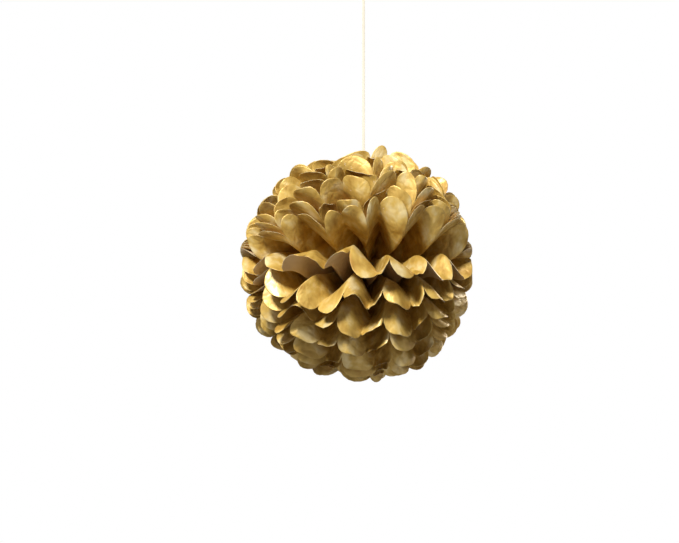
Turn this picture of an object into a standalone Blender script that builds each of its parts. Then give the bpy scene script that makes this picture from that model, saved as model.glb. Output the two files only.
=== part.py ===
"""Hanging pom pom of gold tissue paper, about 250 mm across.

Fourteen sheets of tissue are pleated together, cut round at both ends of the folded strip, and bound round the
middle with a wire. Each half of every sheet is then fanned out and pulled up from the stack, like the pages of a
book whose spine is the X axis through the waist. A ribbon is tied to the wire and ends in a loop to hang it by.

The origin is where the loop hangs, +Z is up and the fluffed front of the ball faces -Y.
"""

import math

import bmesh
import bpy
from mathutils import Vector

# The paper. Each sheet is PANELS pleats wide and twice SHEET_REACH long.
SHEET_COUNT = 14
PANELS = 14
PANEL_WIDTH = 0.030
SHEET_REACH = 0.126
SCALLOP_DEPTH = 0.014
PAPER = 0.00045  # modelled thickness of a sheet
LAYER_GAP = 0.0004  # between two sheets at the waist
CLEARANCE = 0.0003  # between pieces that touch

# The waist, where the strip is drawn together.
WAIST_WIDTH = 0.008
WAIST_LENGTH = 0.015  # at the middle of the stack
WAIST_LENGTH_ENDS = 0.006  # at its front and back

# How each half opens. Page angles turn about the X axis, from straight up or down towards the front.
SIDE_ANGLE = math.radians(1)  # from the X axis to a sheet's side edge
CONE_ANGLE = math.radians(9)  # more at the front and back, where the sides are pulled in
SQUASH = 0.12  # how much narrower the fans are on the right, pressed by the next pom pom
STRETCH = 0.08  # and how much wider on the left
PLEAT_SLOPE = 0.20  # most pleat depth each way, as a share of the distance from the waist
FRONT_AT_WAIST = (math.radians(62), math.radians(76))  # upper half, lower half
FRONT_AT_TIP = (math.radians(65), math.radians(97))
FRONT_LEAN = (math.radians(6), math.radians(0))  # how much farther the fan leans at its left of centre
LEAN_CENTRE = math.radians(112)  # the fan angle of that lean, and how wide it is
LEAN_SPREAD = math.radians(28)
FRONT_SKEW = (math.radians(-3), math.radians(-3))  # how much less it leans at the right than in the middle
FLARE = 0.20  # how far the tips bend back towards the middle of the ball, in radians
FLARE_START = 0.68  # the share of the reach from which they bend
BACK_AT_WAIST = math.radians(-74)
BACK_AT_TIP = math.radians(-82)
RIBBON_ANGLE = (math.radians(17), math.radians(10))  # between the two middle sheets: the ribbon runs above
RIBBON_SWAY = math.radians(12)  # how far those two lean together, forward at the right and back at the left
RIBBON_FOLD = PANELS // 2  # the fold that the ribbon presses flat in the sheets beside it
PRESSED_FOLDS = 3.5  # how many folds each side it presses partly flat
RIBBON_PRESS = 0.3  # how much less it presses in each sheet farther away
PLEAT_START = 0.035  # how far from the waist the pleats reach their full slope
UNEVEN = 0.35  # how unevenly the tips are spaced, from 0 to 1
FOLD_STRAY = 0.12  # how far a fold strays from its place at the rim, in panels
FOLD_PAIR = 0.12  # how far every second fold lies nearer to the next, so that wide and narrow panels alternate
FOLD_DRIFT = 0.20  # and how far the folds of one sheet drift together
PETAL_TURN = (0.26, 0.17)  # how far a tip strays towards the next sheet, from 0 to 0.5
WAIST_CLOSING = 0.75  # how much closer the two halves' sides lie at the rim than at the waist

# Waves through the whole ball that push the paper about: push in mm, length of the wave, its direction and start.
WAVES = (
    ((1.2, 3.2, 2.0), 0.095, (0.70, -0.30, 0.65), 0.5),
    ((3.2, -1.2, 1.6), 0.075, (0.20, 0.80, 0.55), 2.1),
    ((-0.6, 1.6, 2.6), 0.060, (-0.75, 0.45, 0.45), 4.0),
)
WAVES_FULL = 0.08  # how far from the X axis through the waist they are full

CURL = (0.18, 0.13)  # how much farther the middle of a petal curls the way that it turns
CURL_START = 0.72  # the share of the reach from which it curls

# Petals that have rolled over: sheet, half, panel and degrees, positive towards the front.
ROLLED = (
    (13, 1, 8, 75),
    (13, 1, 9, 60),
    (13, 1, 10, 60),
    (12, 1, 7, 65),
    (11, 1, 9, 60),
    (11, 1, 4, 65),
    (0, 0, 8, -100),
    (0, 1, 5, -60),
    (1, 1, 5, -60),
    (0, 1, 9, -80),
)
ROLL_START = 0.76  # the share of the reach from which they roll

# The wire tie and the ribbon.
WIRE = 0.0012
TIE_CORNER = 0.0013
TWIST_LENGTH = 0.010
TWIST_PITCH = 0.010
RIBBON_WIDTH = 0.003
RIBBON_LENGTH = 0.300
RIBBON_STEP = 0.05
RIBBON_THICKNESS = 0.0007
KNOT_WALL = 0.0008
LOOP_KNOT = 0.0055
LOOP_HEIGHT = 0.026
LOOP_WIDTH = 0.012

ROWS = (0.0, 0.45, 0.76, 1.0)  # shares of the way from the waist to the cusps between petals
ARC = (0.25, 0.5, 0.75)  # where a petal's round end has points, as shares of its width

GOLD = (0.72, 0.52, 0.22, 1.0)
WIRE_WHITE = (0.86, 0.84, 0.78, 1.0)
RIBBON_WHITE = (0.93, 0.92, 0.88, 1.0)

HALF_STACK = SHEET_COUNT // 2
RIBBON_GAP = RIBBON_WIDTH + 4 * CLEARANCE
CUSP_REACH = SHEET_REACH - SCALLOP_DEPTH
FAN_ANGLE = math.pi - 2 * SIDE_ANGLE

TIE_HALF_WIDTH = WAIST_WIDTH / 2 + CLEARANCE + WIRE / 2
KNOT_RADIUS = WIRE / 2 + CLEARANCE + KNOT_WALL
RIBBON_FOOT = KNOT_RADIUS + CLEARANCE
DROP = LOOP_HEIGHT + LOOP_KNOT + CLEARANCE + RIBBON_LENGTH + RIBBON_FOOT
HUB = Vector((TIE_HALF_WIDTH, 0.0, -DROP))


def clear_scene():
    for obj in list(bpy.data.objects):
        bpy.data.objects.remove(obj)


def paint(obj, name, colour, roughness, metallic=0.0):
    material = bpy.data.materials.get(name) or bpy.data.materials.new(name)
    material.use_nodes = True
    shader = material.node_tree.nodes["Principled BSDF"]
    shader.inputs["Base Color"].default_value = colour
    shader.inputs["Roughness"].default_value = roughness
    shader.inputs["Metallic"].default_value = metallic
    obj.data.materials.append(material)


def ease(x):
    """0 below 0, 1 above 1 and a smooth rise between."""
    x = min(max(x, 0.0), 1.0)
    return x * x * (3 - 2 * x)


def mix(a, b, share):
    return a + (b - a) * share


def stack_place(sheet):
    """How far in front of the waist's centre a sheet lies. The ribbon's gap is at the middle."""
    step = PAPER + LAYER_GAP
    if sheet >= HALF_STACK:
        return (RIBBON_GAP + PAPER) / 2 + (sheet - HALF_STACK) * step
    return -(RIBBON_GAP + PAPER) / 2 - (HALF_STACK - 1 - sheet) * step


STACK_HALF = stack_place(SHEET_COUNT - 1)


def waist_end(sheet):
    """How far above or below the waist's centre a sheet's fan starts."""
    share = (stack_place(sheet) / STACK_HALF) ** 2
    return mix(WAIST_LENGTH, WAIST_LENGTH_ENDS, share) / 2


def gap_weight(gap, half, angle, out):
    """The share of the turn that lies between sheet number gap and the next one."""
    wander = math.sin(1.9 * gap + 2.6 * half + (1 + gap % 3) * angle)
    return 1 + UNEVEN * out * math.sin(angle) * wander


def page_angles(half, angle, out, far):
    """The angle of each sheet in turn, from back to front, at one place in the fan. far is the share of the reach."""
    bump = math.exp(-(((angle - LEAN_CENTRE) / LEAN_SPREAD) ** 2))
    tip = FRONT_AT_TIP[half] + FRONT_LEAN[half] * bump + FRONT_SKEW[half] * math.cos(angle)
    front = mix(FRONT_AT_WAIST[half], tip, out)
    back = mix(BACK_AT_WAIST, BACK_AT_TIP, out)
    angles = [0.0] * SHEET_COUNT
    for start, end, step in ((HALF_STACK, SHEET_COUNT, 1), (HALF_STACK - 1, -1, -1)):
        sheets = list(range(start, end, step))
        gaps = [min(a, b) for a, b in zip(sheets, sheets[1:])]
        weights = [gap_weight(g, half, angle, out) for g in gaps]
        first = step * RIBBON_ANGLE[half] / 2 + RIBBON_SWAY * math.sin(2 * angle) * math.cos(angle) ** 2
        last = front if step > 0 else back
        angles[start] = first
        for sheet, weight in zip(sheets[1:], weights):
            angles[sheet] = angles[sheet - step] + (last - first) * weight / sum(weights)
    flare = FLARE * max((far - FLARE_START) / (1 - FLARE_START), 0.0) ** 2
    return [here - flare * math.sin(here) for here in angles]


def pushed_about(place):
    """A place near the waist's centre, moved by the waves."""
    growth = ease(math.hypot(place.y, place.z) / WAVES_FULL) ** 2 / 1000
    moved = place.copy()
    for push, length, way, start in WAVES:
        phase = 2 * math.pi * place.dot(Vector(way)) / length + start
        moved += Vector(push) * math.sin(phase) * growth
    return moved


def fold_side(fold):
    """-1 at even folds and 1 at odd ones, straight between: which side of its page a fold stands on."""
    return 1 - 4 * abs((fold / 2) % 1 - 0.5)


def fold_angle(sheet, half, fold, out):
    """The fan angle of a fold. The folds are even at the waist and stray towards the rim."""
    even = fold / PANELS
    stray = FOLD_STRAY * math.sin(2.3 * fold + 1.1 * half + 0.9 * sheet)
    stray += FOLD_DRIFT * math.sin(1.4 * sheet + 0.4 * fold + 2.0 * half)
    stray -= FOLD_PAIR * fold_side(fold)
    return SIDE_ANGLE + FAN_ANGLE * (even + stray * math.sin(math.pi * even) * out**2 / PANELS)


def pressed_by_ribbon(sheet, half, fold):
    """0 to 1: how flat the ribbon presses a sheet of the upper half at one place."""
    if half == 1:
        return 0.0
    away = HALF_STACK - 1 - sheet if sheet < HALF_STACK else sheet - HALF_STACK
    return max(1 - RIBBON_PRESS * away, 0.0) * max(1 - abs(fold - RIBBON_FOLD) / PRESSED_FOLDS, 0.0)


def pleat_depth(angle, reach):
    """How far a fold stands off the middle of its sheet, from a panel's real width."""
    opened = reach * FAN_ANGLE / PANELS
    full = math.sqrt(max(PANEL_WIDTH**2 - opened**2, 0.0)) / 2
    return min(full, PLEAT_SLOPE * reach * ease(reach / PLEAT_START) * math.sin(angle))


def petal_turn(sheet, half, panel):
    """-1 to 1: which way one petal's tip turns, towards the next sheet or the last."""
    return math.sin(4.7 * sheet + 2.9 * panel + 1.3 * half * (sheet + 2))


def petal_middle(inside):
    """1 in the middle of a panel and 0 at its folds."""
    return 1 - abs(2 * inside - 1) ** 3


def rolled_over(sheet, half, panel, inside, reach):
    """The reach and the rise of a point that a petal's roll carries round an arc."""
    degrees = sum(turn for *petal, turn in ROLLED if petal == [sheet, half, panel])
    start = ROLL_START * SHEET_REACH
    past = reach - start
    if degrees == 0 or past <= 0:
        return reach, 0.0
    bend = math.radians(degrees) * petal_middle(inside) * past / (SHEET_REACH - start)
    return start + past * math.sin(bend) / bend, past * (1 - math.cos(bend)) / bend


def sheet_point(sheet, half, fold, reach, turn):
    """A point of a sheet. fold counts pleats, with a fraction inside a panel, and reach is along the paper."""
    far = reach / SHEET_REACH
    out = ease(far)
    angle = fold_angle(sheet, half, fold, out)
    angles = page_angles(half, angle, out, far)
    here = angles[sheet]
    towards = sheet + (1 if turn > 0 else -1)
    if 0 <= towards < SHEET_COUNT and {sheet, towards} != {HALF_STACK - 1, HALF_STACK}:
        curled = max((far - CURL_START) / (1 - CURL_START), 0.0) ** 2
        share = PETAL_TURN[half] * out + CURL[half] * petal_middle(fold % 1) * curled
        here += (angles[towards] - here) * abs(turn) * share
    wave = -fold_side(fold) if half == 1 else fold_side(fold)
    off = pleat_depth(angle, reach) * wave * (1 - pressed_by_ribbon(sheet, half, fold))
    along = reach * math.sin(angle)
    panel, inside = divmod(fold, 1)
    if inside > 0:
        reach, rise = rolled_over(sheet, half, panel, inside, reach)
        off += rise
        along = reach * math.sin(angle)
    radius = math.hypot(along, off)
    turned = here + math.atan2(off, along) if radius > 0 else here
    across = WAIST_WIDTH * (0.5 - fold / PANELS) + reach * math.cos(angle)
    span = math.hypot(across, radius)
    lean = math.atan2(radius, across)
    lean += CONE_ANGLE * out * math.sin(turned) ** 2 * (1 - 2 * lean / math.pi)
    across = span * math.cos(lean)
    radius = span * math.sin(lean)
    across *= 1 - (SQUASH * out if across > 0 else -STRETCH * out)
    side = -1 if half else 1
    up = side * (waist_end(sheet) * (1 - WAIST_CLOSING * out) + radius * math.cos(turned))
    front = stack_place(sheet) + radius * math.sin(turned)
    return HUB + pushed_about(Vector((across, -front, up)))


def split_quad(work, a, b, c, d, other_way):
    """Two triangles, split the same way in every sheet, so that sheets that lie together stay apart."""
    for face in ((a, b, d), (b, c, d)) if other_way else ((a, b, c), (a, c, d)):
        work.faces.new(face)


def make_sheet(sheet):
    """One sheet: a pleated fan above the waist and one below, with a row of round petals at each end."""
    work = bmesh.new()
    rows = []
    for half in (0, 1):
        grid = []
        for share in ROWS:
            row = []
            for fold in range(PANELS + 1):
                turn = 0.5 * (petal_turn(sheet, half, fold) + petal_turn(sheet, half, fold - 1))
                row.append(work.verts.new(sheet_point(sheet, half, fold, share * CUSP_REACH, turn)))
            grid.append(row)
        rows.append(grid)
        for inner, outer in zip(grid, grid[1:]):
            for fold in range(PANELS):
                split_quad(work, inner[fold], inner[fold + 1], outer[fold + 1], outer[fold], fold % 2)
        for fold in range(PANELS):
            rim = [grid[-1][fold]]
            for share in ARC:
                bulge = math.sqrt(1 - (2 * share - 1) ** 2)
                reach = CUSP_REACH + SCALLOP_DEPTH * bulge
                turn = petal_turn(sheet, half, fold)
                rim.append(work.verts.new(sheet_point(sheet, half, fold + share, reach, turn)))
            rim.append(grid[-1][fold + 1])
            middle = len(rim) // 2
            work.faces.new((rim[0], rim[-1], rim[middle]))
            for i in range(1, middle):
                work.faces.new((rim[0], rim[i + 1], rim[i]))
                work.faces.new((rim[-1], rim[-1 - i], rim[-2 - i]))
    upper, lower = rows[0][0], rows[1][0]
    for fold in range(PANELS):
        split_quad(work, lower[fold], lower[fold + 1], upper[fold + 1], upper[fold], fold % 2)
    bmesh.ops.recalc_face_normals(work, faces=work.faces)
    name = f"sheet_{sheet + 1:02d}"
    mesh = bpy.data.meshes.new(name)
    work.to_mesh(mesh)
    work.free()
    obj = bpy.data.objects.new(name, mesh)
    bpy.context.collection.objects.link(obj)
    skin = obj.modifiers.new("paper", "SOLIDIFY")
    skin.thickness = PAPER
    skin.offset = 0.0
    paint(obj, "gold tissue", GOLD, 0.45, 0.6)
    return obj


def tube(name, points, diameter, sides):
    """A round wire or cord along a line of points."""
    curve = bpy.data.curves.new(name, "CURVE")
    curve.dimensions = "3D"
    curve.bevel_depth = diameter / 2
    curve.bevel_resolution = sides
    curve.use_fill_caps = True
    spline = curve.splines.new("POLY")
    spline.points.add(len(points) - 1)
    for place, point in zip(spline.points, points):
        place.co = (*point, 1.0)
    obj = bpy.data.objects.new(name, curve)
    bpy.context.collection.objects.link(obj)
    return obj


def make_tie():
    """A wire round the waist, open at the right, where its two ends are twisted together."""
    deep = STACK_HALF + PAPER / 2 + CLEARANCE + WIRE / 2
    strand = (WIRE + CLEARANCE) / 2
    bend = TIE_CORNER
    points = []
    corners = (
        (TIE_HALF_WIDTH - bend, deep - bend, 0),
        (-TIE_HALF_WIDTH + bend, deep - bend, 90),
        (-TIE_HALF_WIDTH + bend, -deep + bend, 180),
        (TIE_HALF_WIDTH - bend, -deep + bend, 270),
    )
    for x, front, start in corners:
        for step in range(3):
            turn = math.radians(start + step * 45)
            points.append(Vector((x + bend * math.cos(turn), -front - bend * math.sin(turn), 0.0)))
    first, last = [], []
    steps = 7
    for step in range(steps + 1):
        along = TIE_HALF_WIDTH + WIRE + TWIST_LENGTH * step / steps
        turn = 2 * math.pi * TWIST_LENGTH / TWIST_PITCH * step / steps
        swing = Vector((0.0, -strand * math.cos(turn), strand * math.sin(turn)))
        first.append(Vector((along, 0.0, 0.0)) + swing)
        last.append(Vector((along, 0.0, 0.0)) - swing)
    route = [HUB + p for p in first[::-1] + points + last]
    obj = tube("tie_wire", route, WIRE, 1)
    paint(obj, "coated wire", WIRE_WHITE, 0.4)
    return obj


def make_ribbon_knot():
    """The ribbon's turn round the wire, at the left of the waist and between the two middle sheets."""
    mesh = bpy.data.meshes.new("ribbon_knot")
    work = bmesh.new()
    inner = WIRE / 2 + CLEARANCE
    steps = 10
    profile = [
        Vector((inner, -RIBBON_WIDTH / 2, 0.0)),
        Vector((KNOT_RADIUS, -RIBBON_WIDTH / 2, 0.0)),
        Vector((KNOT_RADIUS, RIBBON_WIDTH / 2, 0.0)),
        Vector((inner, RIBBON_WIDTH / 2, 0.0)),
    ]
    verts = [work.verts.new(p) for p in profile]
    edges = [work.edges.new((verts[i], verts[(i + 1) % 4])) for i in range(4)]
    bmesh.ops.spin(
        work, geom=verts + edges, cent=(0, 0, 0), axis=(0, 1, 0), angle=2 * math.pi, steps=steps, use_merge=True
    )
    bmesh.ops.remove_doubles(work, verts=work.verts, dist=1e-6)
    bmesh.ops.recalc_face_normals(work, faces=work.faces)
    work.to_mesh(mesh)
    work.free()
    obj = bpy.data.objects.new("ribbon_knot", mesh)
    bpy.context.collection.objects.link(obj)
    obj.location = HUB + Vector((-TIE_HALF_WIDTH, 0.0, 0.0))
    paint(obj, "ribbon", RIBBON_WHITE, 0.5)
    return obj


def make_ribbon():
    """The taut run of ribbon from the knot at the waist to the knot under the loop."""
    foot = HUB + Vector((-TIE_HALF_WIDTH, 0.0, RIBBON_FOOT))
    count = round(RIBBON_LENGTH / RIBBON_STEP)
    points = [foot + Vector((0.0, 0.0, RIBBON_LENGTH * i / count)) for i in range(count + 1)]
    obj = tube("hanging_ribbon", points, RIBBON_WIDTH, 1)
    paint(obj, "ribbon", RIBBON_WHITE, 0.5)
    return obj


def make_loop():
    """The ribbon's end, doubled back into a drop-shaped loop over a flattened knot."""
    steps = 16
    work = bmesh.new()
    rings = []
    middle = -LOOP_HEIGHT / 2
    for step in range(steps):
        turn = 2 * math.pi * (step + 0.5) / steps
        x = LOOP_WIDTH / 2 * math.sin(turn) * abs(math.sin(turn / 2)) * 1.3
        z = middle - LOOP_HEIGHT / 2 * math.cos(turn)
        slope_x = math.cos(turn) * abs(math.sin(turn / 2)) + math.sin(turn) * math.cos(turn / 2) / 2
        slope_x *= LOOP_WIDTH / 2 * 1.3
        slope_z = LOOP_HEIGHT / 2 * math.sin(turn)
        outward = Vector((slope_z, 0.0, -slope_x)).normalized() * RIBBON_THICKNESS
        ring = []
        for thick, wide in ((0, -1), (1, -1), (1, 1), (0, 1)):
            ring.append(work.verts.new(Vector((x, wide * RIBBON_WIDTH / 2, z)) + thick * outward))
        rings.append(ring)
    for here, there in zip(rings, rings[1:] + rings[:1]):
        for i in range(4):
            work.faces.new((here[i], here[(i + 1) % 4], there[(i + 1) % 4], there[i]))
    bmesh.ops.recalc_face_normals(work, faces=work.faces)
    mesh = bpy.data.meshes.new("hanging_loop")
    work.to_mesh(mesh)
    work.free()
    obj = bpy.data.objects.new("hanging_loop", mesh)
    bpy.context.collection.objects.link(obj)
    bpy.ops.mesh.primitive_uv_sphere_add(segments=8, ring_count=6, radius=LOOP_KNOT / 2 + 0.0006)
    knot = bpy.context.object
    knot.name = "loop_knot_form"
    knot.data.transform(knot.matrix_world)
    knot.location = (0.0, 0.0, -LOOP_HEIGHT - LOOP_KNOT / 2 + 0.0006)
    knot.hide_render = True
    knot.display_type = "WIRE"
    join = obj.modifiers.new("knot", "BOOLEAN")
    join.operation = "UNION"
    join.object = knot
    paint(obj, "ribbon", RIBBON_WHITE, 0.5)
    return obj


def main():
    clear_scene()
    for sheet in range(SHEET_COUNT):
        make_sheet(sheet)
    make_tie()
    make_ribbon_knot()
    make_ribbon()
    make_loop()


main()
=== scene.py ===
import math

import bpy
import numpy as np
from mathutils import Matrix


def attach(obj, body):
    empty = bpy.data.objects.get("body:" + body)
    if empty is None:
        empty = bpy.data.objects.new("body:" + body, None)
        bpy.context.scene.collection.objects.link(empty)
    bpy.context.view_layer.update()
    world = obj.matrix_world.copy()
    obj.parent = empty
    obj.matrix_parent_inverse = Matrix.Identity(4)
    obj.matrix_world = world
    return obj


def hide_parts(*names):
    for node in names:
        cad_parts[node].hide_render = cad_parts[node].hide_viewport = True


bl_info = {
    "name": "Hanging Tissue Pom Pom",
    "version": (1, 0, 0),
    "blender": (4, 5, 0),
    "location": "3D Viewport > Sidebar > Pom Pom",
    "description": "Builds a hanging pom pom of pleated gold tissue paper with its ribbon, tie and studio",
    "category": "Object",
}

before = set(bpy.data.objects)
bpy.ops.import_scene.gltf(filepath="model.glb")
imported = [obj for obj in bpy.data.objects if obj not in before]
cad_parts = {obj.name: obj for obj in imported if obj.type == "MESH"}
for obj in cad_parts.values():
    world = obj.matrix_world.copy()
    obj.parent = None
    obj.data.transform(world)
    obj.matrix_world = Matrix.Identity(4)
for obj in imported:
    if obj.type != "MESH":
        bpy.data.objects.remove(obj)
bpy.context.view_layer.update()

# The sheets, from the back to the front.
SHEETS = [f"sheet_{i:02d}" for i in range(1, 15)]
SHEET_COUNT = len(SHEETS)
HALF_STACK = SHEET_COUNT // 2

# The layout is that of the part's source, in metres and radians, and a comment says where it differs. A pair holds
# the upper half's value and the lower half's, unless a comment says otherwise.

# The paper, and how the sheets lie at the waist.
PANELS = 14
PAPER = 0.00045  # the solids' thickness, which sets how far apart the sheets lie
LAYER_GAP = 0.0004  # between two solids at the waist
WAIST_WIDTH = 0.008
WAIST_LENGTH = 0.015  # at the middle of the stack
WAIST_LENGTH_ENDS = 0.006  # at its front and back
WAIST_CLOSING = 0.75  # how much closer the two halves' sides lie at the rim than at the waist
TIE_HALF_WIDTH = 0.0049

# How each half opens. Page angles turn about the X axis, from straight up or down towards the front.
SIDE_ANGLE = math.radians(1)  # from the X axis to a sheet's side edge
FAN_ANGLE = math.pi - 2 * SIDE_ANGLE
CONE_ANGLE = math.radians(9)  # more at the front and back, where the sides are pulled in
SQUASH = 0.12  # how much narrower the fans are on the right
STRETCH = 0.08  # and how much wider on the left
FRONT_AT_WAIST = (math.radians(62), math.radians(76))
FRONT_AT_TIP = (math.radians(65), math.radians(97))
FRONT_LEAN = (math.radians(6), math.radians(0))  # how much farther the fan leans at its left of centre
LEAN_CENTRE = math.radians(112)  # the fan angle of that lean, and how wide it is
LEAN_SPREAD = math.radians(28)
FRONT_SKEW = (math.radians(-3), math.radians(-3))  # how much less it leans at the right than in the middle
BACK_AT_WAIST = math.radians(-74)
BACK_AT_TIP = math.radians(-82)
FLARE = 0.20  # how far the tips bend back towards the middle of the ball, in radians
FLARE_START = 0.68  # the share of the reach from which they bend
UNEVEN = 0.35  # how unevenly the tips are spaced, from 0 to 1

# The pleats, which are deeper than the source's near the waist and the sides. These pairs are for waist and rim.
PLEAT_SLOPE = (0.44, 0.40)  # most depth each way, as a share of the distance from the waist
PLEAT_POWER = (0.40, 0.78)  # how fast the pleats flatten towards the sides, as a power of the fan angle's sine
PLEAT_START = 0.025  # how far from the waist the pleats reach their full slope
PLEAT_SHARPNESS = 0.985  # 1 is a zigzag, and less is rounder at the folds

# The marks of hands.
FOLD_STRAY = 0.12  # how far a fold strays from its place at the rim, in panels
FOLD_PAIR = 0.12  # how far every second fold lies nearer to the next, so that wide and narrow panels alternate
FOLD_DRIFT = 0.20  # and how far the folds of one sheet drift together
PETAL_TURN = (0.26, 0.17)  # how far a petal strays towards the next sheet, from 0 to 0.5
CURL = (0.18, 0.13)  # how much farther its tip curls that way
CURL_START = 0.72  # the share of the reach from which it curls
DENTS = 0.007  # the depth of dents and creases, as a share of the distance from the X axis
CREASES = 12  # how many waves they are the sum of
CREASE_LENGTHS = (0.006, 0.030)  # the shortest and the longest
SHEET_SHIFT = 0.53  # between two sheets' places on the patterns, so that no two look alike
ROW_CROWDING = 1.25  # how much the rows of points crowd towards the rims, as a power

# Petals that have rolled over and show the other face of the paper: sheet, half, panel and degrees.
ROLLED = (
    (13, 1, 8, 75),
    (13, 1, 9, 60),
    (13, 1, 10, 60),
    (12, 1, 7, 65),
    (11, 1, 9, 60),
    (11, 1, 4, 65),
    (0, 0, 8, -100),
    (0, 1, 5, -60),
    (1, 1, 5, -60),
    (0, 1, 9, -80),
)
ROLL_START = 0.76  # the share of the reach from which they roll

# Beyond the source, the tips of petals that turn inwards roll outwards.
TIP_ROLL = math.radians(100)
TIP_START = 0.84  # the share of the reach from which they roll
TIP_TURNS = (0.1875, 0.8125)  # the inward turn of a petal at which its tip begins to roll, and rolls fully

# Waves through the whole ball that push the paper about: push in mm, length of the wave, its direction and start.
WAVES = (
    ((1.2, 3.2, 2.0), 0.095, (0.70, -0.30, 0.65), 0.5),
    ((3.2, -1.2, 1.6), 0.075, (0.20, 0.80, 0.55), 2.1),
    ((-0.6, 1.6, 2.6), 0.060, (-0.75, 0.45, 0.45), 4.0),
)
WAVES_FULL = 0.08  # the distance from the X axis at which they push fully

# The ribbon, and the two middle sheets that it runs between.
RIBBON_ANGLE = (math.radians(17), math.radians(10))  # between those two
RIBBON_SWAY = math.radians(12)  # how far they lean together, forward at the right and back at the left
RIBBON_GAP = 0.0042  # between them at the waist
RIBBON_FOLD = PANELS // 2  # the fold that the ribbon presses flat in the sheets beside it
RIBBON_PRESS = 0.3  # how much less it presses in each sheet farther away
PRESSED_FOLDS = 2.5  # how many folds each side it presses partly flat, one fewer than in the source
RIBBON_FOOT = 0.0020  # from the middle of the tie up to the ribbon's end
RIBBON_LENGTH = 0.300
RIBBON_SIDES = 12  # points round the ribbon's section
RIBBON_POINTS = 160  # along it
RIBBON_TWIST = (0.10, 1.3, 0.4)  # how far it turns each way when taut, in how many waves, and where they start
WIRE_KNOT_TURNS = 1.5
WIRE_KNOT_RADII = (0.00105, 0.00140)  # at its start and its end
WIRE_KNOT_POINTS = 60
WIRE_KNOT_THICKNESS = 0.00025  # of the ribbon where the knot pulls it tight
LOOP_HEIGHT = 0.026
LOOP_WIDTH = 0.012
LOOP_POINTS = 90  # along the loop, and along its knot
LOOP_TURN = (0.06, 1.94)  # where the drop starts and ends, in half turns from its foot
LOOP_FULLNESS = 1.3  # makes the widest place of the drop as wide as LOOP_WIDTH
LOOP_KNOT = 0.0055
LOOP_KNOT_TURNS = 2.5
LOOP_KNOT_RISE = 0.30  # how far they run up and down from its middle, as a share of its height
LOOP_KNOT_RADII = (0.0009, 0.0022)  # at its ends and in its middle
LOOP_KNOT_SWELL = (0.15, 0.90)  # the part of a half wave by which it swells
LOOP_KNOT_LEAN = 0.35  # how far the ribbon in it leans outwards, as a slope
LOOP_KNOT_WIDTH = 0.8  # of the ribbon folded up in it, as a share of the ribbon's width
LOOP_KNOT_THICKNESS = 0.0005
CLEARANCE = 0.0003  # between pieces that touch
RIBBON_TOP = -(LOOP_HEIGHT + LOOP_KNOT + CLEARANCE)
HUB = np.array((TIE_HALF_WIDTH, 0.0, RIBBON_TOP - RIBBON_LENGTH - RIBBON_FOOT))

# The stage: the picture's size and the waist's place in it in pixels, then places from the waist in metres.
PICTURE = (679, 543)
HUB_PIXEL = (368, 266)
SENSOR_WIDTH = 36.0  # of the camera, in mm
KEY_PLACE, KEY_WIDTH = (-0.75, -1.20, 1.35), 0.40
FILL_PLACE, FILL_WIDTH = (1.5, -0.9, 0.1), 1.2
BACK_PLACE, BACK_WIDTH = (1.3, 1.3, 0.6), 1.0
FLOOR_WIDTH = 2.4
FLOOR_DROP = 1.4


# Colours and nodes


def linear(hex_colour):
    """The linear colour of an sRGB hex value."""
    values = [int(hex_colour[i : i + 2], 16) / 255 for i in (1, 3, 5)]
    return [v / 12.92 if v <= 0.04045 else ((v + 0.055) / 1.055) ** 2.4 for v in values] + [1.0]


def add(tree, kind, settings=None, links=None):
    """Adds a node. settings sets its properties and sockets, and links joins its sockets to others' outputs."""
    node = tree.nodes.new(kind)
    for key, value in (settings or {}).items():
        if isinstance(key, str) and hasattr(node, key):
            setattr(node, key, value)
        else:
            node.inputs[key].default_value = value
    for key, source in (links or {}).items():
        tree.links.new(source, node.inputs[key])
    return node


def new_material(name):
    """An empty material with a Principled shader on its output."""
    material = bpy.data.materials.new(name)
    material.use_nodes = True
    tree = material.node_tree
    tree.nodes.clear()
    shader = add(tree, "ShaderNodeBsdfPrincipled")
    add(tree, "ShaderNodeOutputMaterial", links={"Surface": shader.outputs["BSDF"]})
    return material, tree, shader


def ramp(tree, stops, factor):
    """A colour ramp through the stops, each a place and a hex colour."""
    node = add(tree, "ShaderNodeValToRGB", links={"Fac": factor})
    elements = node.color_ramp.elements
    while len(elements) < len(stops):
        elements.new(0.5)
    for element, (place, colour) in zip(elements, stops):
        element.position = place
        element.color = linear(colour)
    return node.outputs["Color"]


def paper_crinkle(tree, distance):
    """Bump of tissue that has been handled, and its dents: soft dents about 17 mm across, creases about 8 mm apart
    and fibres about 1 mm long, which are coarser than real ones so that they show."""
    place = add(tree, "ShaderNodeUVMap", {"uv_map": "paper"}).outputs["UV"]
    dents = add(tree, "ShaderNodeTexNoise", {"Scale": 60.0, "Detail": 3.0}, {"Vector": place})
    creases = add(
        tree,
        "ShaderNodeTexVoronoi",
        {"feature": "DISTANCE_TO_EDGE", "Scale": 120.0, "Randomness": 1.0},
        {"Vector": place},
    )
    sharp = add(tree, "ShaderNodeMapRange", {1: 0.0, 2: 0.25, 3: 0.0, 4: 1.0}, {0: creases.outputs["Distance"]})
    fibre = add(tree, "ShaderNodeTexNoise", {"Scale": 900.0, "Detail": 2.0}, {"Vector": place})
    both = add(
        tree,
        "ShaderNodeMath",
        {"operation": "MULTIPLY_ADD", 1: 0.35},
        {0: sharp.outputs["Result"], 2: dents.outputs["Fac"]},
    )
    total = add(
        tree,
        "ShaderNodeMath",
        {"operation": "MULTIPLY_ADD", 1: 0.12},
        {0: fibre.outputs["Fac"], 2: both.outputs["Value"]},
    )
    bump = add(tree, "ShaderNodeBump", {"Strength": 1.0, "Distance": distance}, {"Height": total.outputs["Value"]})
    # The dents' height also goes back, to set the painted shade and painted highlight in the colours.
    return bump.outputs["Normal"], dents.outputs["Fac"]


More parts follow.
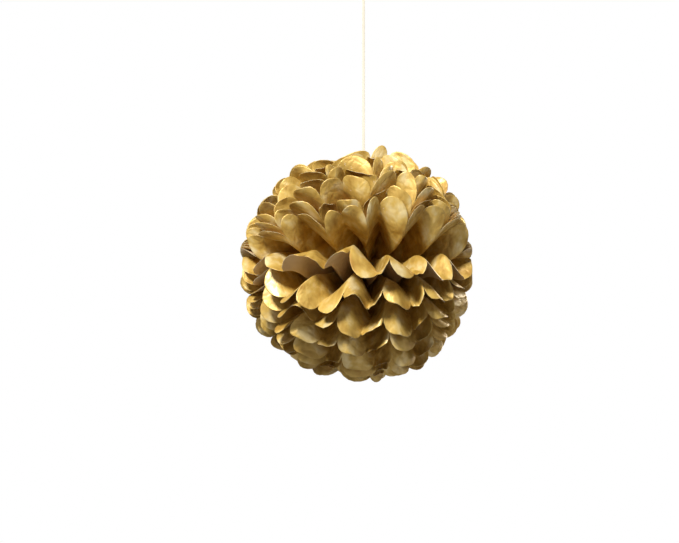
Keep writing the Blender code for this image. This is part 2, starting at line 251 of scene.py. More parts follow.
def gold_print(colours):
    """Tissue printed with gold ink: a satin sheen on a crinkle, smoother on the rises of its dents. Its colour holds
    painted light: deep gold as painted shade in the dents' hollows and light gold as a painted highlight on their
    rises. The ink is bronze powder in a clear binder, so it is only partly metallic."""
    material, tree, shader = new_material("tissue_gold_print")
    normal, dents = paper_crinkle(tree, 0.0006)
    # The colour follows the dents' height: painted shade in their hollows and a painted highlight on their rises.
    colour = ramp(tree, ((0.30, colours.gold_painted_shade), (0.52, colours.gold), (0.72, colours.gold_painted_highlight)), dents)
    rough = add(tree, "ShaderNodeMapRange", {1: 0.3, 2: 0.7, 3: 0.50, 4: 0.38}, {0: dents})
    tree.links.new(colour, shader.inputs["Base Color"])
    tree.links.new(rough.outputs["Result"], shader.inputs["Roughness"])
    tree.links.new(normal, shader.inputs["Normal"])
    shader.inputs["Metallic"].default_value = 0.25
    return material


def plain_back(colours):
    """The unprinted back of the tissue: dull taupe, with the gold showing through a little, and deep taupe as painted
    shade in the dents' hollows.
    """
    material, tree, shader = new_material("tissue_taupe_back")
    normal, dents = paper_crinkle(tree, 0.0005)
    # The colour follows the dents' height: painted shade in their hollows.
    colour = ramp(tree, ((0.30, colours.taupe_painted_shade), (0.70, colours.taupe)), dents)
    tree.links.new(colour, shader.inputs["Base Color"])
    tree.links.new(normal, shader.inputs["Normal"])
    shader.inputs["Roughness"].default_value = 0.62
    shader.inputs["Metallic"].default_value = 0.12
    return material


def cut_edge(colours):
    """The cut edge of the tissue: bare fibres in specks of about 1.4 mm, whose pale colour is partly their own and
    partly a painted highlight of the rims catching the light.
    """
    material, tree, shader = new_material("tissue_cut_edge")
    place = add(tree, "ShaderNodeTexCoord").outputs["Object"]
    fibre = add(tree, "ShaderNodeTexNoise", {"Scale": 700.0, "Detail": 2.0}, {"Vector": place})
    # Painted highlight: the edge's pale colour stands partly for the light that its rims catch.
    colour = ramp(tree, ((0.35, colours.edge_shade), (0.65, colours.edge)), fibre.outputs["Fac"])
    tree.links.new(colour, shader.inputs["Base Color"])
    shader.inputs["Roughness"].default_value = 0.7
    return material


def satin_ribbon(colours):
    """Woven polyester satin: warm white, with ribs across it every 0.8 mm, coarse enough to show, and a soft sheen."""
    material, tree, shader = new_material("ribbon_satin")
    place = add(tree, "ShaderNodeUVMap", {"uv_map": "ribbon"}).outputs["UV"]
    ribs = add(
        tree,
        "ShaderNodeTexWave",
        {"wave_type": "BANDS", "bands_direction": "Y", "Scale": 400.0, "Distortion": 0.6, "Detail": 1.0},
        {"Vector": place},
    )
    colour = ramp(tree, ((0.2, colours.ribbon_shade), (0.8, colours.ribbon)), ribs.outputs["Fac"])
    bump = add(tree, "ShaderNodeBump", {"Strength": 0.4, "Distance": 0.0001}, {"Height": ribs.outputs["Fac"]})
    tree.links.new(colour, shader.inputs["Base Color"])
    tree.links.new(bump.outputs["Normal"], shader.inputs["Normal"])
    shader.inputs["Roughness"].default_value = 0.45
    shader.inputs["Sheen Weight"].default_value = 0.3
    return material


def coated_wire(colours):
    """Soft wire in a white plastic coat: smooth, with small scuffs from twisting."""
    material, tree, shader = new_material("wire_plastic_coat")
    place = add(tree, "ShaderNodeTexCoord").outputs["Object"]
    scuffs = add(tree, "ShaderNodeTexNoise", {"Scale": 1500.0, "Detail": 4.0}, {"Vector": place})
    colour = ramp(tree, ((0.35, colours.wire_shade), (0.6, colours.wire)), scuffs.outputs["Fac"])
    rough = add(tree, "ShaderNodeMapRange", {1: 0.3, 2: 0.7, 3: 0.28, 4: 0.5}, {0: scuffs.outputs["Fac"]})
    tree.links.new(colour, shader.inputs["Base Color"])
    tree.links.new(rough.outputs["Result"], shader.inputs["Roughness"])
    return material


# Surfaces. The plain numbers inside sines of a sheet's, fold's, gap's or panel's number only make neighbours differ.


def ease(x):
    """0 below 0, 1 above 1 and 3x^2 - 2x^3 between."""
    x = np.clip(x, 0.0, 1.0)
    return x * x * (3 - 2 * x)


def between(ends, share):
    """The value at a share of the way from the first of two ends to the second."""
    return ends[0] + (ends[1] - ends[0]) * share


def mid_panel(inside):
    """1 in the middle of a panel and 0 at its folds, by a cube: 1 - |2x - 1|^3 over its width."""
    return 1 - np.abs(2 * inside - 1) ** 3


def in_panel(fold):
    """The panel that a place across the pleats lies in, and how far across it, from 0 to 1."""
    panel = np.minimum(np.floor(fold), PANELS - 1)
    return panel, fold - panel


def stack_place(sheet):
    """How far in front of the waist's centre a sheet lies: even steps, with the ribbon's gap at the middle."""
    step = PAPER + LAYER_GAP
    if sheet >= HALF_STACK:
        return (RIBBON_GAP + PAPER) / 2 + (sheet - HALF_STACK) * step
    return -(RIBBON_GAP + PAPER) / 2 - (HALF_STACK - 1 - sheet) * step


def waist_end(sheet):
    """Where a sheet's fan starts above or below the waist's centre: a parabola over the stack."""
    share = (stack_place(sheet) / stack_place(SHEET_COUNT - 1)) ** 2
    return between((WAIST_LENGTH, WAIST_LENGTH_ENDS), share) / 2


def page_angle(sheet, half, angle, out, far):
    """The turn of a sheet about the X axis. The sheets share the turn from the ribbon's gap to the front or back
    in parts whose weights are 1 plus a sine of the gap's number and the fan angle. The front's turn is its own
    angle, plus a bell curve of the fan angle, plus a cosine of it. Past the start of the flare the turn grows less
    by a square."""
    bump = np.exp(-(((angle - LEAN_CENTRE) / LEAN_SPREAD) ** 2))
    tip = FRONT_AT_TIP[half] + FRONT_LEAN[half] * bump + FRONT_SKEW[half] * np.cos(angle)
    front = between((FRONT_AT_WAIST[half], tip), out)
    back = between((BACK_AT_WAIST, BACK_AT_TIP), out)
    side = 1 if sheet >= HALF_STACK else -1
    nearest = HALF_STACK if side > 0 else HALF_STACK - 1
    gaps = range(HALF_STACK, SHEET_COUNT - 1) if side > 0 else range(HALF_STACK - 2, -1, -1)
    uneven = UNEVEN * out * np.sin(angle)
    weights = [1 + uneven * np.sin(1.9 * g + 2.6 * half + (1 + g % 3) * angle) for g in gaps]
    passed = abs(sheet - nearest)
    first = side * RIBBON_ANGLE[half] / 2 + RIBBON_SWAY * np.sin(2 * angle) * np.cos(angle) ** 2
    last = front if side > 0 else back
    here = first + (last - first) * sum(weights[:passed], 0.0 * angle) / sum(weights)
    return here - FLARE * np.clip((far - FLARE_START) / (1 - FLARE_START), 0.0, None) ** 2 * np.sin(here)


def fold_place(sheet, half, fold, out):
    """The fan angle at a place across the pleats: even at the waist, and straying towards the rim by two sines of
    the fold's and sheet's numbers and by turns to either side. The side edges don't stray."""
    low = np.floor(fold)
    share = fold - low

    def stray(at):
        value = FOLD_STRAY * np.sin(2.3 * at + 1.1 * half + 0.9 * sheet)
        value += FOLD_DRIFT * np.sin(1.4 * sheet + 0.4 * at + 2.0 * half)
        value += FOLD_PAIR * np.cos(math.pi * at)
        return value * np.sin(math.pi * at / PANELS)

    strayed = stray(low) * (1 - share) + stray(low + 1) * share
    return SIDE_ANGLE + FAN_ANGLE * (fold + strayed * out**2) / PANELS


def petal_turn(sheet, half, panel):
    """Which way a petal turns, from -1 for backwards to 1: a sine of the sheet's and panel's numbers."""
    return np.sin(4.7 * sheet + 2.9 * panel + 1.3 * half * (sheet + 2))


def crinkle(across, along, seed):
    """Creases and dents: a sum of waves over the flat paper, each 1 - |sine| in height, so that it has a sharp
    ridge, with a seeded direction, length and phase. Long waves are the higher ones, and the last step brings the
    sum to between about -0.5 and 0.5."""
    draw = np.random.default_rng(seed)
    height = np.zeros_like(across)
    shortest, longest = CREASE_LENGTHS
    for _ in range(CREASES):
        turn = draw.uniform(0, math.pi)
        length = shortest * (longest / shortest) ** draw.uniform(0, 1)
        phase = draw.uniform(0, 2 * math.pi)
        wave = np.sin(2 * math.pi * (across * math.cos(turn) + along * math.sin(turn)) / length + phase)
        height += (1 - np.abs(wave)) * length / longest
    return height / 4 - 0.6


def pushed_about(points):
    """Moves places, given from the waist's centre, by the sum of the sine waves that cross the whole ball. They
    are nothing on the X axis and full from WAVES_FULL off it."""
    growth = ease(np.hypot(points[..., 1], points[..., 2]) / WAVES_FULL)[..., None] ** 2
    moved = points
    for push, length, way, start in WAVES:
        phase = points @ (np.array(way) * 2 * math.pi / length) + start
        moved = moved + np.sin(phase)[..., None] * np.array(push) / 1000 * growth
    return moved


def rolled_over(sheet, half, fold, angle, reach, sizes):
    """The reach of petals that roll over, and how far they rise off their page: the paper past the start of the
    roll follows an arc of a circle, whose turn is full in the middle of the panel and none at its folds. Besides
    the petals that are named, the tips of those that turn inwards roll outwards, the more the farther they turn,
    and less towards the sides by the square of the fan angle's sine."""
    panel, inside = in_panel(fold)
    side = 1 if sheet >= HALF_STACK else -1
    inwards = (-side * petal_turn(sheet, half, panel) - TIP_TURNS[0]) / (TIP_TURNS[1] - TIP_TURNS[0])
    turn = side * TIP_ROLL * np.clip(inwards, 0.0, 1.0) * np.sin(angle) ** 2
    start = np.full_like(reach, TIP_START)
    for its_sheet, its_half, its_panel, degrees in ROLLED:
        if (its_sheet, its_half) == (sheet, half):
            turn = np.where(panel == its_panel, math.radians(degrees), turn)
            start = np.where(panel == its_panel, ROLL_START, start)
    start = start * sizes.reach
    past = np.clip(reach - start, 0.0, None)
    bend = turn * mid_panel(inside) * past / (sizes.reach - start)
    unbent = np.abs(bend) < 1e-6
    safe = np.where(unbent, 1.0, bend)
    straight = np.where(unbent, 1.0, np.sin(safe) / safe)
    rise = np.where(unbent, 0.0, (1 - np.cos(safe)) / safe)
    return np.where(past > 0, start + past * straight, reach), past * rise


def petal_page(sheet, half, fold, angle, out, far):
    """The page angle, moved towards the page of the sheet behind or in front where a petal turns that way. The
    move is a share of the angle between the two pages: the petal's turn times a part that grows with out, and a
    curl that grows as a square past its start. A fold takes half of its turn from the petal on its other side."""
    panel, inside = in_panel(fold)
    here = page_angle(sheet, half, angle, out, far)
    own = petal_turn(sheet, half, panel)
    beside = np.where(inside < 0.5, petal_turn(sheet, half, panel - 1), petal_turn(sheet, half, panel + 1))
    beside = np.where((fold < 0.5) | (fold > PANELS - 0.5), own, beside)
    turn = own + (beside - own) * ease(np.abs(inside - 0.5) * 2) * 0.5
    curled = np.clip((far - CURL_START) / (1 - CURL_START), 0.0, None) ** 2
    for direction in (-1, 1):
        towards = sheet + direction
        if 0 <= towards < SHEET_COUNT and {sheet, towards} != {HALF_STACK - 1, HALF_STACK}:
            there = page_angle(towards, half, angle, out, far)
            part = PETAL_TURN[half] * out + CURL[half] * mid_panel(inside) * curled
            here = here + (there - here) * np.clip(turn * direction, 0.0, 1.0) * part
    return here


def pleat_height(sheet, half, fold, reach, angle, out, sizes):
    """How far the pleats stand off their page: a zigzag with rounded folds, the arc sine of a sine just under 1.
    Its depth makes each panel as wide as its paper, and is held to a share of the distance from the waist times a
    power of the fan angle's sine. Near the ribbon's fold the upper half is pressed flatter."""
    wave = np.arcsin(PLEAT_SHARPNESS * np.sin(math.pi * (fold - 0.5))) / math.asin(PLEAT_SHARPNESS)
    opened = reach * FAN_ANGLE / PANELS
    full = np.sqrt(np.clip(sizes.panel**2 - opened**2, 0.0, None)) / 2
    slope = between(PLEAT_SLOPE, out)
    power = between(PLEAT_POWER, out)
    depth = np.minimum(full, slope * reach * ease(reach / PLEAT_START) * np.sin(angle) ** power)
    if half == 1:
        return -depth * wave
    away = HALF_STACK - 1 - sheet if sheet < HALF_STACK else sheet - HALF_STACK
    pressed = max(1 - RIBBON_PRESS * away, 0.0) * np.clip(1 - np.abs(fold - RIBBON_FOLD) / PRESSED_FOLDS, 0.0, 1.0)
    return depth * wave * (1 - pressed)


def fan_surface(sheet, half, fold, share, sizes):
    """One half of a sheet on a grid, and how far along the paper each point lies. The first number counts pleats
    and the second runs from the waist to the rim, whose reach is a half ellipse over each panel. The point is at
    that reach and fan angle, stands off its page by the pleats, dents and rolls, and the page is turned about the
    X axis. Last the fans are narrowed to a cone, squashed on the right and stretched on the left."""
    inside = in_panel(fold)[1]
    bulge = np.sqrt(np.clip(1 - (2 * inside - 1) ** 2, 0.0, 1.0))
    reach = share * (sizes.reach - sizes.scallop * (1 - bulge))
    far = reach / sizes.reach
    out = ease(far)
    angle = fold_place(sheet, half, fold, out)

    off = pleat_height(sheet, half, fold, reach, angle, out, sizes)
    dents = DENTS * crinkle(fold * sizes.panel, reach, 40 * half + sheet)
    off = off + reach * np.sin(angle) * dents
    reach, rise = rolled_over(sheet, half, fold, angle, reach, sizes)
    off = off + rise

    along = reach * np.sin(angle)
    radius = np.hypot(along, off)
    turned = petal_page(sheet, half, fold, angle, out, far) + np.arctan2(off, along)
    across = WAIST_WIDTH * (0.5 - fold / PANELS) + reach * np.cos(angle)
    span = np.hypot(across, radius)
    lean = np.arctan2(radius, across)
    lean = lean + CONE_ANGLE * out * np.sin(turned) ** 2 * (1 - 2 * lean / math.pi)
    across = span * np.cos(lean)
    radius = span * np.sin(lean)
    across = across * np.where(across > 0, 1 - SQUASH * out, 1 + STRETCH * out)
    side = -1 if half else 1
    up = side * (waist_end(sheet) * (1 - WAIST_CLOSING * out) + radius * np.cos(turned))
    front = stack_place(sheet) + radius * np.sin(turned)
    return pushed_about(np.stack((across, -front, up), axis=-1)) + HUB, reach


def sheet_surface(sheet, sizes):
    """A whole sheet on one grid: the lower half from its rim to the waist, then the upper half out to its rim.
    Columns crowd towards the folds by a cosine and rows towards the rims by a power. With it comes the place of
    each point on the flat paper."""
    turn = np.linspace(0, math.pi, sizes.columns + 1)[:-1]
    inside = (1 - np.cos(turn)) / 2
    fold = np.concatenate([p + inside for p in range(PANELS)] + [[float(PANELS)]])
    share = 1 - (1 - np.linspace(0, 1, sizes.rows)) ** ROW_CROWDING
    grid_fold, grid_share = np.meshgrid(fold, share)
    upper, upper_reach = fan_surface(sheet, 0, grid_fold, grid_share, sizes)
    lower, lower_reach = fan_surface(sheet, 1, grid_fold, grid_share, sizes)
    points = np.concatenate((lower[::-1], upper))
    along = np.concatenate((-lower_reach[::-1] - WAIST_LENGTH / 2, upper_reach + WAIST_LENGTH / 2))
    across = np.concatenate((grid_fold, grid_fold)) * sizes.panel
    return points, np.stack((across + SHEET_SHIFT * sheet, along), axis=-1)


def grid_normals(points):
    """The unit normals of a grid, from the cross product of its two slopes."""
    down, across = np.gradient(points, axis=0), np.gradient(points, axis=1)
    normals = np.cross(across, down)
    length = np.linalg.norm(normals, axis=-1, keepdims=True)
    return normals / np.maximum(length, 1e-12)


def skinned_grid(points, thickness):
    """Two skins half a thickness each side of a grid, and the band of faces that joins them round its border.
    Faces come as front skin, back skin and band."""
    rows, columns = points.shape[:2]
    normals = grid_normals(points) * thickness / 2
    verts = np.concatenate(((points + normals).reshape(-1, 3), (points - normals).reshape(-1, 3)))
    index = np.arange(rows * columns).reshape(rows, columns)
    front = np.stack((index[:-1, :-1], index[:-1, 1:], index[1:, 1:], index[1:, :-1]), axis=-1).reshape(-1, 4)
    back = front[:, ::-1] + rows * columns
    ring = np.concatenate((index[0, :-1], index[:-1, -1], index[-1, :0:-1], index[:0:-1, 0]))
    after = np.roll(ring, -1)
    band = np.stack((after, ring, ring + rows * columns, after + rows * columns), axis=-1)
    return verts, np.concatenate((front, back, band)), len(front)


def mesh_from(name, verts, faces, uv=None, uv_name="paper", smooth=True):
    """A mesh object from arrays of points and four-sided faces, with a UV map of one place for each point."""
    mesh = bpy.data.meshes.new(name)
    mesh.vertices.add(len(verts))
    mesh.vertices.foreach_set("co", np.ascontiguousarray(verts, dtype=np.float32).ravel())
    mesh.loops.add(faces.size)
    mesh.loops.foreach_set("vertex_index", faces.ravel().astype(np.int32))
    mesh.polygons.add(len(faces))
    mesh.polygons.foreach_set("loop_start", np.arange(0, faces.size, 4, dtype=np.int32))
    mesh.polygons.foreach_set("loop_total", np.full(len(faces), 4, dtype=np.int32))
    mesh.update(calc_edges=True)
    mesh.validate()
    if uv is not None:
        layer = mesh.uv_layers.new(name=uv_name)
        layer.data.foreach_set("uv", uv[faces.ravel()].astype(np.float32).ravel())
    mesh.polygons.foreach_set("use_smooth", np.full(len(mesh.polygons), smooth))
    obj = bpy.data.objects.new(name, mesh)
    bpy.context.scene.collection.objects.link(obj)
    return obj


def ribbon_strip(name, path, flat, width, thickness):
    """A flat ribbon along a path, closed at both ends. Its section is a superellipse, the square roots of a cosine
    and a sine, wide across the flat direction, carried along the path and turned to stay square to it."""
    slope = np.gradient(path, axis=0)
    slope /= np.linalg.norm(slope, axis=1, keepdims=True)
    wide = flat - slope * np.sum(flat * slope, axis=1, keepdims=True)
    wide /= np.linalg.norm(wide, axis=1, keepdims=True)
    thick = np.cross(slope, wide)
    sides = RIBBON_SIDES
    turn = 2 * math.pi * (np.arange(sides) + 0.5) / sides
    x = np.sign(np.cos(turn)) * np.abs(np.cos(turn)) ** 0.5 * width / 2
    y = np.sign(np.sin(turn)) * np.abs(np.sin(turn)) ** 0.5 * thickness / 2
    rings = path[:, None] + wide[:, None] * x[None, :, None] + thick[:, None] * y[None, :, None]
    count = len(path)
    length = np.concatenate(([0.0], np.cumsum(np.linalg.norm(np.diff(path, axis=0), axis=1))))
    uv = np.stack((np.broadcast_to(x, (count, sides)), np.broadcast_to(length[:, None], (count, sides))), axis=-1)
    ring = np.arange(count - 1)[:, None] * sides
    side = np.arange(sides)
    after = (side + 1) % sides
    quads = np.stack((ring + side, ring + after, ring + sides + after, ring + sides + side), axis=-1).reshape(-1, 4)
    low = np.stack([(i, i + 1, sides - 2 - i, sides - 1 - i) for i in range(sides // 2 - 1)])[:, ::-1]
    quads = np.concatenate((quads, low, low[:, ::-1] + (count - 1) * sides))
    return mesh_from(name, rings.reshape(-1, 3), quads, uv.reshape(-1, 2), "ribbon")


# Sizes and colours that a user can change


class PomPomSizes(bpy.types.PropertyGroup):
    reach: bpy.props.FloatProperty(
        name="Petal reach", description="From the waist to the tip of a petal", default=0.126, unit="LENGTH"
    )
    scallop: bpy.props.FloatProperty(
        name="Scallop depth", description="Depth of a petal's round end", default=0.014, unit="LENGTH"
    )
    panel: bpy.props.FloatProperty(
        name="Pleat width", description="Width of the paper between two folds", default=0.030, unit="LENGTH"
    )
    thickness: bpy.props.FloatProperty(
        name="Paper thickness",
        description="Thickness of the tissue, drawn coarse enough for its edge to show",
        default=0.00016,
        unit="LENGTH",
    )
    columns: bpy.props.IntProperty(name="Columns", description="Faces across one pleat", default=10)
    rows: bpy.props.IntProperty(name="Rows", description="Points from the waist to the rim", default=54)
    ribbon_width: bpy.props.FloatProperty(
        name="Ribbon width", description="Width of the flat ribbon", default=0.003, unit="LENGTH"
    )
    ribbon_thickness: bpy.props.FloatProperty(
        name="Ribbon thickness", description="Thickness of the flat ribbon", default=0.0003, unit="LENGTH"
    )


class PomPomColours(bpy.types.PropertyGroup):
    gold: bpy.props.StringProperty(name="Gold", description="Gold ink, sRGB hex", default="#c9a652")
    # The light gold is a painted highlight on the dents' rises, and the deep gold is painted shade in their hollows.
    gold_painted_highlight: bpy.props.StringProperty(name="Light gold", description="Painted highlight on the gold, sRGB hex", default="#e4cf98")
    gold_painted_shade: bpy.props.StringProperty(name="Deep gold", description="Painted shade on the gold, sRGB hex", default="#9a7222")
    taupe: bpy.props.StringProperty(name="Taupe", description="Back of the tissue, sRGB hex", default="#e0c8a2")
    # The deep taupe is painted shade in the dents' hollows on the back.
    taupe_painted_shade: bpy.props.StringProperty(name="Deep taupe", description="Painted shade on the back, sRGB hex", default="#ccb086")
    # The cut edge's pale colour is partly a painted highlight of rims catching the light.
    edge: bpy.props.StringProperty(name="Cut edge", description="Bare fibres painted pale as a highlight, sRGB hex", default="#f6ecc9")
    edge_shade: bpy.props.StringProperty(name="Edge shade", description="Darker fibres, sRGB hex", default="#dcc489")
    ribbon: bpy.props.StringProperty(name="Ribbon", description="Satin ribs, sRGB hex", default="#ebe4d2")
    ribbon_shade: bpy.props.StringProperty(name="Ribbon shade", description="Between ribs, sRGB hex", default="#cfc6b0")
    wire: bpy.props.StringProperty(name="Wire coat", description="Plastic coat, sRGB hex", default="#efece2")
    wire_shade: bpy.props.StringProperty(name="Wire scuffs", description="Scuffed coat, sRGB hex", default="#d6d0c0")


class PomPomStage(bpy.types.PropertyGroup):
    distance: bpy.props.FloatProperty(
        name="Camera distance", description="From the waist to the camera", default=2.0, unit="LENGTH"
    )
    pixel: bpy.props.FloatProperty(
        name="Pixel size", description="Width of a picture pixel at the waist", default=0.00109, unit="LENGTH"
    )
    key: bpy.props.FloatProperty(name="Key light", description="Power of the main light", default=64.0, unit="POWER")
    fill: bpy.props.FloatProperty(name="Fill light", description="Power of the side light", default=2.0, unit="POWER")
    back: bpy.props.FloatProperty(name="Back light", description="Power of the rear light", default=26.0, unit="POWER")
    world: bpy.props.FloatProperty(name="Surround", description="Strength of the light all round", default=0.03)


# The makers


class POMPOM_OT_stage(bpy.types.Operator):
    """Adds the camera, the lights, the white surround and the pale floor"""

    bl_idname = "pompom.stage"
    bl_label = "Stage"

    def execute(self, context):
        stage = context.scene.pompom_stage
        width, height = PICTURE
        lens = bpy.data.cameras.new("camera")
        lens.sensor_width = SENSOR_WIDTH
        lens.lens = SENSOR_WIDTH * stage.distance / (width * stage.pixel)
        camera = bpy.data.objects.new("camera", lens)
        camera.location = (
            HUB[0] + (width / 2 - HUB_PIXEL[0]) * stage.pixel,
            -stage.distance,
            HUB[2] + (HUB_PIXEL[1] - height / 2) * stage.pixel,
        )
        camera.rotation_euler = (math.pi / 2, 0.0, 0.0)
        context.scene.collection.objects.link(camera)
        context.scene.camera = camera
        self.light(context, "key", KEY_PLACE, KEY_WIDTH, stage.key)
        self.light(context, "fill", FILL_PLACE, FILL_WIDTH, stage.fill)
        self.light(context, "back", BACK_PLACE, BACK_WIDTH, stage.back)
        self.surround(context, stage)
        self.floor(context)
        context.scene.view_settings.view_transform = "Standard"
        return {"FINISHED"}

    def light(self, context, name, place, width, power):
        """A round lamp at a place given from the waist, turned to shine at it."""
        lamp = bpy.data.lights.new(name, "AREA")
        lamp.shape = "DISK"
        lamp.size = width
        lamp.energy = power
        obj = bpy.data.objects.new(name, lamp)
        obj.location = np.array(place) + HUB
        way = -np.array(place)
        obj.rotation_euler = (
            math.atan2(math.hypot(way[0], way[1]), -way[2]),
            0.0,
            math.atan2(way[1], way[0]) - math.pi / 2,
        )
        context.scene.collection.objects.link(obj)

    def surround(self, context, stage):
        """White to the camera, in reflections and through clear pieces, and a weak light to the rest."""
        world = bpy.data.worlds.new("surround")
        world.use_nodes = True
        tree = world.node_tree
        tree.nodes.clear()
        path = add(tree, "ShaderNodeLightPath")
        seen = path.outputs["Is Camera Ray"]
        for ray in ("Is Glossy Ray", "Is Transmission Ray"):
            both = add(tree, "ShaderNodeMath", {"operation": "MAXIMUM"}, {0: seen, 1: path.outputs[ray]})
            seen = both.outputs["Value"]
        strength = add(tree, "ShaderNodeMapRange", {3: stage.world, 4: 1.0}, {0: seen}).outputs["Result"]
        light = add(tree, "ShaderNodeBackground", {"Color": (1.0, 1.0, 1.0, 1.0)}, {"Strength": strength})
        add(tree, "ShaderNodeOutputWorld", links={"Surface": light.outputs["Background"]})
        context.scene.world = world

    def floor(self, context):
        """A square of matt painted board below the ball, off-white with a faint grain about 3 mm across."""
        side = FLOOR_WIDTH / 2
        level = HUB[2] - FLOOR_DROP
        corners = np.array(((-side, -side, level), (side, -side, level), (side, side, level), (-side, side, level)))
        obj = mesh_from("floor", corners, np.array(((0, 1, 2, 3),)), smooth=False)
        material, tree, shader = new_material("painted_floor")
        place = add(tree, "ShaderNodeTexCoord").outputs["Object"]
        grain = add(tree, "ShaderNodeTexNoise", {"Scale": 300.0}, {"Vector": place})
        colour = ramp(tree, ((0.3, "#eeece8"), (0.7, "#f6f5f2")), grain.outputs["Fac"])
        tree.links.new(colour, shader.inputs["Base Color"])
        shader.inputs["Roughness"].default_value = 0.8
        obj.data.materials.append(material)


class POMPOM_OT_ribbon(bpy.types.Operator):
    """Adds the flat satin ribbon, its knot round the wire, and the knot and loop at its top"""

    bl_idname = "pompom.ribbon"
    bl_label = "Ribbon"

    def execute(self, context):
        sizes = context.scene.pompom_sizes
        satin = satin_ribbon(context.scene.pompom_colours)
        foot = HUB[2] + RIBBON_FOOT
        knot = self.wire_knot(sizes)
        loop = self.loop(sizes)
        share = np.linspace(0, 1, RIBBON_POINTS)
        heights = foot + share * RIBBON_LENGTH
        path = np.stack((0.0 * share, 0.0 * share, heights), axis=-1)
        most, waves, start = RIBBON_TWIST
        sway = most * np.sin(2 * math.pi * share * waves + start)
        flat = np.stack((np.cos(sway), np.sin(sway), 0.0 * share), axis=-1)
        ribbon = ribbon_strip("ribbon", path, flat, sizes.ribbon_width, sizes.ribbon_thickness)
        for piece, node in ((knot, "ribbon_knot"), (loop, "hanging_loop"), (ribbon, "hanging_ribbon")):
            piece.data.materials.append(satin)
            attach(piece, "root")
            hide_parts(node)
        return {"FINISHED"}

    def wire_knot(self, sizes):
        """A turn and a half of ribbon round the wire: a spiral about the Y axis whose radius grows evenly, by a
        little more than the ribbon's thickness."""
        turn = np.linspace(0, 2 * math.pi * WIRE_KNOT_TURNS, WIRE_KNOT_POINTS)
        radius = between(WIRE_KNOT_RADII, turn / turn[-1])
        path = np.stack((radius * np.cos(turn), 0.0 * turn, radius * np.sin(turn)), axis=-1)
        path += (HUB[0] - TIE_HALF_WIDTH, 0.0, HUB[2])
        flat = np.tile((0.0, 1.0, 0.0), (len(turn), 1))
        return ribbon_strip("ribbon_wire_knot", path, flat, sizes.ribbon_width, WIRE_KNOT_THICKNESS)

    def loop(self, sizes):
        """The loop and its knot in one piece. The loop is a drop: a circle narrowed towards its foot by the sine of
        half the turn. The knot is two and a half turns of a helix, which swells in the middle by a sine."""
        turn = np.linspace(*LOOP_TURN, LOOP_POINTS) * math.pi
        x = LOOP_WIDTH / 2 * np.sin(turn) * np.sin(turn / 2) * LOOP_FULLNESS
        z = -LOOP_HEIGHT / 2 - LOOP_HEIGHT / 2 * np.cos(turn)
        path = np.stack((x, 0.0 * x, z), axis=-1)
        flat = np.tile((0.0, 1.0, 0.0), (len(turn), 1))
        wind = np.linspace(0, 2 * math.pi * LOOP_KNOT_TURNS, LOOP_POINTS)
        radius = between(LOOP_KNOT_RADII, np.sin(np.linspace(*LOOP_KNOT_SWELL, LOOP_POINTS) * math.pi))
        height = -LOOP_HEIGHT - LOOP_KNOT / 2 + LOOP_KNOT * LOOP_KNOT_RISE * np.linspace(1, -1, LOOP_POINTS)
        knot = np.stack((radius * np.cos(wind), radius * np.sin(wind), height), axis=-1)
        lean = np.stack((LOOP_KNOT_LEAN * np.cos(wind), LOOP_KNOT_LEAN * np.sin(wind), 0.0 * wind + 1), axis=-1)
        lower = ribbon_strip("loop_knot", knot, lean, sizes.ribbon_width * LOOP_KNOT_WIDTH, LOOP_KNOT_THICKNESS)
        upper = ribbon_strip("ribbon_loop", path, flat, sizes.ribbon_width, sizes.ribbon_thickness)
        with bpy.context.temp_override(active_object=upper, selected_editable_objects=[upper, lower]):
            bpy.ops.object.join()
        return upper


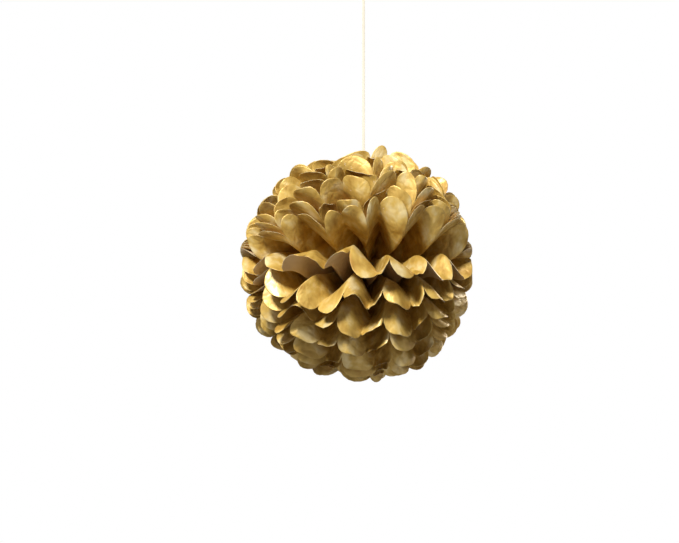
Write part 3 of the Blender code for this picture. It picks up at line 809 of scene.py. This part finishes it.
class POMPOM_OT_sheets(bpy.types.Operator):
    """Adds the fourteen pleated sheets of tissue paper"""

    bl_idname = "pompom.sheets"
    bl_label = "Tissue sheets"

    def execute(self, context):
        sizes = context.scene.pompom_sizes
        colours = context.scene.pompom_colours
        skins = (gold_print(colours), plain_back(colours), cut_edge(colours))
        # The cut without what falls off round the petals, each end of a panel being half an ellipse.
        for sheet, node in enumerate(SHEETS):
            points, uv = sheet_surface(sheet, sizes)
            verts, faces, skin = skinned_grid(points, sizes.thickness)
            flat_uv = uv.reshape(-1, 2)
            obj = mesh_from(f"tissue_{node}", verts, faces, np.concatenate((flat_uv, flat_uv)))
            for material in skins:
                obj.data.materials.append(material)
            kinds = np.full(len(faces), 2, dtype=np.int32)
            kinds[:skin] = 1
            kinds[skin : 2 * skin] = 0
            obj.data.polygons.foreach_set("material_index", kinds)
            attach(obj, "root")
            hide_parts(node)
        return {"FINISHED"}


class POMPOM_OT_tie(bpy.types.Operator):
    """Gives the wire round the waist its plastic coat"""

    bl_idname = "pompom.tie"
    bl_label = "Tie wire"

    def execute(self, context):
        wire = bpy.data.objects["tie_wire"]
        coat = coated_wire(context.scene.pompom_colours)
        for slot in wire.material_slots:
            slot.material = coat
        return {"FINISHED"}


class POMPOM_PT_panel(bpy.types.Panel):
    """Lists the sizes, colours and stage settings, and a button for each maker"""

    bl_label = "Pom Pom"
    bl_idname = "POMPOM_PT_panel"
    bl_space_type = "VIEW_3D"
    bl_region_type = "UI"
    bl_category = "Pom Pom"

    def draw(self, context):
        scene = context.scene
        for group in (scene.pompom_sizes, scene.pompom_colours, scene.pompom_stage):
            box = self.layout.box()
            for name in group.__annotations__:
                box.prop(group, name)
        for maker in MAKERS:
            self.layout.operator(maker.bl_idname)


MAKERS = (POMPOM_OT_stage, POMPOM_OT_ribbon, POMPOM_OT_sheets, POMPOM_OT_tie)
CLASSES = (PomPomSizes, PomPomColours, PomPomStage, *MAKERS, POMPOM_PT_panel)


def register():
    for cls in CLASSES:
        bpy.utils.register_class(cls)
    bpy.types.Scene.pompom_sizes = bpy.props.PointerProperty(type=PomPomSizes)
    bpy.types.Scene.pompom_colours = bpy.props.PointerProperty(type=PomPomColours)
    bpy.types.Scene.pompom_stage = bpy.props.PointerProperty(type=PomPomStage)


def unregister():
    del bpy.types.Scene.pompom_sizes
    del bpy.types.Scene.pompom_colours
    del bpy.types.Scene.pompom_stage
    for cls in reversed(CLASSES):
        bpy.utils.unregister_class(cls)


def main():
    register()
    bpy.ops.pompom.stage()
    bpy.ops.pompom.ribbon()
    bpy.ops.pompom.sheets()
    bpy.ops.pompom.tie()


if __name__ == "__main__":
    main()
